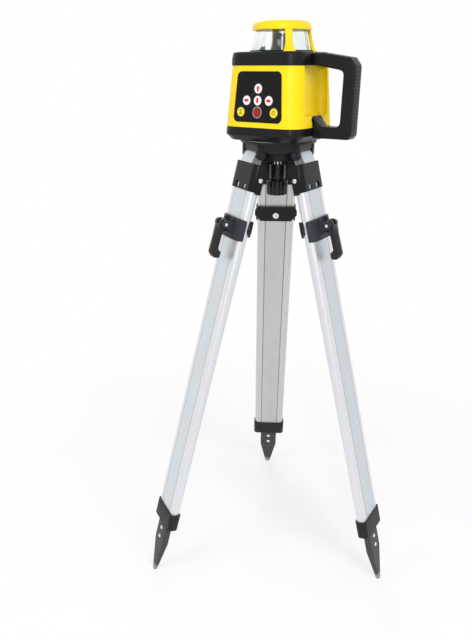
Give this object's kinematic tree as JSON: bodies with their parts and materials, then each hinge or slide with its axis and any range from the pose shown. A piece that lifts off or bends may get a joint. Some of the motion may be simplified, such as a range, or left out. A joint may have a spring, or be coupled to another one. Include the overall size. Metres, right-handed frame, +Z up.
{
  "type": "rotary laser level on tripod",
  "caption": "Yellow and black rotary laser level with side handle and glass lantern, screwed to a flat-head aluminium surveying tripod with quick clamps.",
  "frame": {"origin": "on the ground under the middle of the whole model's footprint box", "axes": "+Z up; +Y towards the rear leg; the keypad and the two front legs face -Y; +X to the right seen from the front"},
  "size_m": [0.5738, 0.5132, 1.1985],
  "materials": {
    "black_casting": "satin",
    "bright_steel": "satin",
    "knob_black": "gloss",
    "aluminium": "satin",
    "yoke_black": "satin",
    "clamp_slate": "satin",
    "clamp_black": "matte",
    "fastener_steel": "bright",
    "shoe_black": "matte",
    "housing_black": "textured",
    "housing_yellow": "satin",
    "keypad_black": "matte",
    "key_white": "satin",
    "key_red": "satin",
    "key_yellow": "satin",
    "clear_glass": "polished",
    "rotor_black": "satin",
    "inner_metal": "machined",
    "brass": "machined",
    "board_green": "matte"
  },
  "bodies": {
    "head": {"head_casting": "black_casting", "hinge_pins": "bright_steel", "screw_carrier": "black_casting"},
    "screw": {"centre_screw": "bright_steel", "screw_knob": "knob_black"},
    "upper_rear": {"upper_leg_rear": "aluminium", "yoke_rear": "yoke_black", "yoke_pin_rear": "fastener_steel"},
    "lower_rear": {"lower_leg_rear": "aluminium", "clamp_plate_rear": "clamp_slate", "clamp_band_rear": "clamp_black", "clamp_bolt_rear": "fastener_steel", "end_cap_rear": "clamp_black", "foot_shoe_rear": "shoe_black", "foot_rivets_rear": "fastener_steel"},
    "lever_rear": {"clamp_lever_rear": "clamp_black"},
    "upper_front_left": {"upper_leg_front_left": "aluminium", "yoke_front_left": "yoke_black", "yoke_pin_front_left": "fastener_steel"},
    "lower_front_left": {"lower_leg_front_left": "aluminium", "clamp_plate_front_left": "clamp_slate", "clamp_band_front_left": "clamp_black", "clamp_bolt_front_left": "fastener_steel", "end_cap_front_left": "clamp_black", "foot_shoe_front_left": "shoe_black", "foot_rivets_front_left": "fastener_steel"},
    "lever_front_left": {"clamp_lever_front_left": "clamp_black"},
    "upper_front_right": {"upper_leg_front_right": "aluminium", "yoke_front_right": "yoke_black", "yoke_pin_front_right": "fastener_steel"},
    "lower_front_right": {"lower_leg_front_right": "aluminium", "clamp_plate_front_right": "clamp_slate", "clamp_band_front_right": "clamp_black", "clamp_bolt_front_right": "fastener_steel", "end_cap_front_right": "clamp_black", "foot_shoe_front_right": "shoe_black", "foot_rivets_front_right": "fastener_steel"},
    "lever_front_right": {"clamp_lever_front_right": "clamp_black"},
    "level": {"base_tray": "housing_black", "mount_insert": "brass", "battery_pack": "housing_black", "body_shell": "housing_yellow", "top_housing": "housing_black", "handle": "housing_black", "keypad_panel": "keypad_black", "circuit_board": "board_green", "lantern_glass": "clear_glass", "lantern_cage": "housing_yellow"},
    "gimbal": {"gimbal_ring": "inner_metal"},
    "barrel": {"laser_barrel": "inner_metal", "rotor_motor": "inner_metal"},
    "rotor": {"rotor_head": "rotor_black", "pentaprism": "clear_glass"},
    "body_key_up": {"key_up": "key_white"},
    "body_key_left": {"key_left": "key_white"},
    "body_key_down": {"key_down": "key_white"},
    "body_key_right": {"key_right": "key_white"},
    "body_key_scan": {"key_scan": "key_yellow"},
    "body_key_manual": {"key_manual": "key_red"},
    "body_key_power": {"key_power": "key_yellow"}
  },
  "joints": [
    {"name": "fold_rear", "type": "hinge", "parent": "head", "child": "upper_rear", "pos_m": [0, -0.01779, 0.97494], "axis": [1, 0, 0], "range_deg": [-15.4, 10]},
    {"name": "slide_rear", "type": "slide", "parent": "upper_rear", "child": "lower_rear", "axis": [0, 0.267, -0.9637], "range_m": [0, 0.6]},
    {"name": "clamp_open_rear", "type": "hinge", "parent": "lower_rear", "child": "lever_rear", "pos_m": [0, 0.05214, 0.84801], "axis": [1, 0, 0], "range_deg": [0, 150]},
    {"name": "fold_front_left", "type": "hinge", "parent": "head", "child": "upper_front_left", "pos_m": [-0.04723, -0.0996, 0.97494], "axis": [-0.5, 0.866, 0], "range_deg": [-15.4, 10]},
    {"name": "slide_front_left", "type": "slide", "parent": "upper_front_left", "child": "lower_front_left", "axis": [-0.2312, -0.1335, -0.9637], "range_m": [0, 0.6]},
    {"name": "clamp_open_front_left", "type": "hinge", "parent": "lower_front_left", "child": "lever_front_left", "pos_m": [-0.1078, -0.13457, 0.84801], "axis": [-0.5, 0.866, 0], "range_deg": [0, 150]},
    {"name": "fold_front_right", "type": "hinge", "parent": "head", "child": "upper_front_right", "pos_m": [0.04723, -0.0996, 0.97494], "axis": [-0.5, -0.866, 0], "range_deg": [-15.4, 10]},
    {"name": "slide_front_right", "type": "slide", "parent": "upper_front_right", "child": "lower_front_right", "axis": [0.2312, -0.1335, -0.9637], "range_m": [0, 0.6]},
    {"name": "clamp_open_front_right", "type": "hinge", "parent": "lower_front_right", "child": "lever_front_right", "pos_m": [0.1078, -0.13457, 0.84801], "axis": [-0.5, -0.866, 0], "range_deg": [0, 150]},
    {"name": "screw_turn", "type": "hinge", "parent": "head", "child": "screw", "pos_m": [0, -0.07233, 1], "axis": [0, 0, 1], "continuous": true},
    {"name": "aim_level", "type": "hinge", "parent": "head", "child": "level", "pos_m": [0, -0.07233, 1], "axis": [0, 0, 1], "continuous": true},
    {"name": "tilt_roll", "type": "hinge", "parent": "level", "child": "gimbal", "pos_m": [0, -0.07233, 1.1043], "axis": [0.848, -0.5299, 0], "range_deg": [-5, 5]},
    {"name": "tilt_pitch", "type": "hinge", "parent": "gimbal", "child": "barrel", "pos_m": [0, -0.07233, 1.1043], "axis": [0.5299, 0.848, 0], "range_deg": [-5, 5]},
    {"name": "rotor_spin", "type": "hinge", "parent": "barrel", "child": "rotor", "pos_m": [0, -0.07233, 1.1043], "axis": [0, 0, 1], "continuous": true},
    {"name": "travel_key_up", "type": "slide", "parent": "level", "child": "body_key_up", "axis": [0.5283, 0.8455, -0.0774], "range_m": [0, 0.0008], "stiffness_N_per_m": 800, "springref_m": -0.001},
    {"name": "travel_key_left", "type": "slide", "parent": "level", "child": "body_key_left", "axis": [0.5283, 0.8455, -0.0774], "range_m": [0, 0.0008], "stiffness_N_per_m": 800, "springref_m": -0.001},
    {"name": "travel_key_down", "type": "slide", "parent": "level", "child": "body_key_down", "axis": [0.5283, 0.8455, -0.0774], "range_m": [0, 0.0008], "stiffness_N_per_m": 800, "springref_m": -0.001},
    {"name": "travel_key_right", "type": "slide", "parent": "level", "child": "body_key_right", "axis": [0.5283, 0.8455, -0.0774], "range_m": [0, 0.0008], "stiffness_N_per_m": 800, "springref_m": -0.001},
    {"name": "travel_key_scan", "type": "slide", "parent": "level", "child": "body_key_scan", "axis": [0.5283, 0.8455, -0.0774], "range_m": [0, 0.0008], "stiffness_N_per_m": 800, "springref_m": -0.001},
    {"name": "travel_key_manual", "type": "slide", "parent": "level", "child": "body_key_manual", "axis": [0.5283, 0.8455, -0.0774], "range_m": [0, 0.0008], "stiffness_N_per_m": 800, "springref_m": -0.001},
    {"name": "travel_key_power", "type": "slide", "parent": "level", "child": "body_key_power", "axis": [0.5283, 0.8455, -0.0774], "range_m": [0, 0.0008], "stiffness_N_per_m": 800, "springref_m": -0.001}
  ]
}
